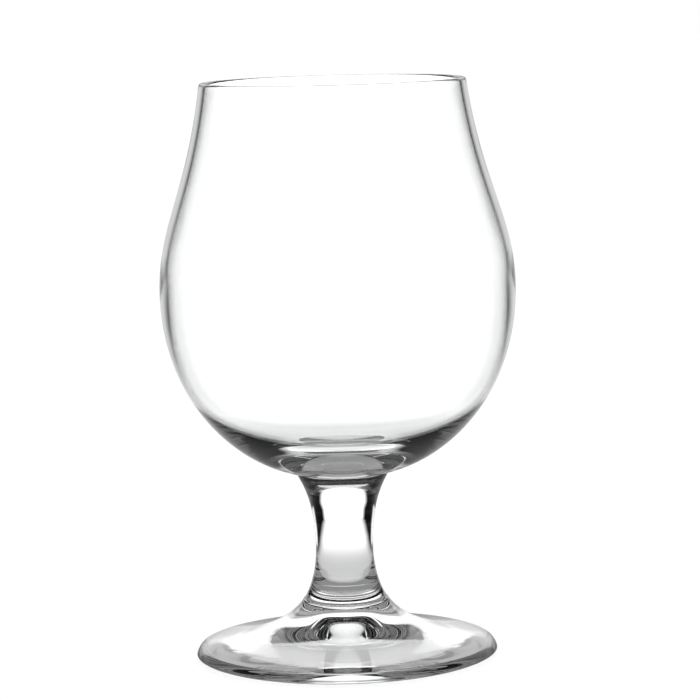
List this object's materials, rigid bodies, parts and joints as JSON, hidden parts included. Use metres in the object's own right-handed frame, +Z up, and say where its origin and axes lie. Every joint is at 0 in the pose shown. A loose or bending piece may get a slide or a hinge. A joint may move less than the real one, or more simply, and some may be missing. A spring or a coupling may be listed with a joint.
{
  "type": "beer glass",
  "caption": "Clear stemmed beer glass: a tulip bowl drawn in at a rounded rim, on a solid waisted stem fused to a round foot that is hollowed underneath.",
  "frame": {"origin": "centre of the foot's standing ring, on the surface the glass stands on", "axes": "+Z up along the axis of the glass, towards the rim; the glass is round, so +X and +Y are any two directions across it"},
  "size_m": [0.0936, 0.0936, 0.1524],
  "materials": {
    "bowl_glass": "clear blown soda-lime glass, fire-polished and smooth, colourless",
    "stem_glass": "clear pressed soda-lime glass, solid, with faint chill ripples round the weld under the bowl",
    "foot_glass": "clear pressed soda-lime glass, fire-polished on top, with faint chill ripples underneath"
  },
  "bodies": {
    "root": {"bowl": "bowl_glass", "stem": "stem_glass", "foot": "foot_glass"}
  },
  "joints": []
}
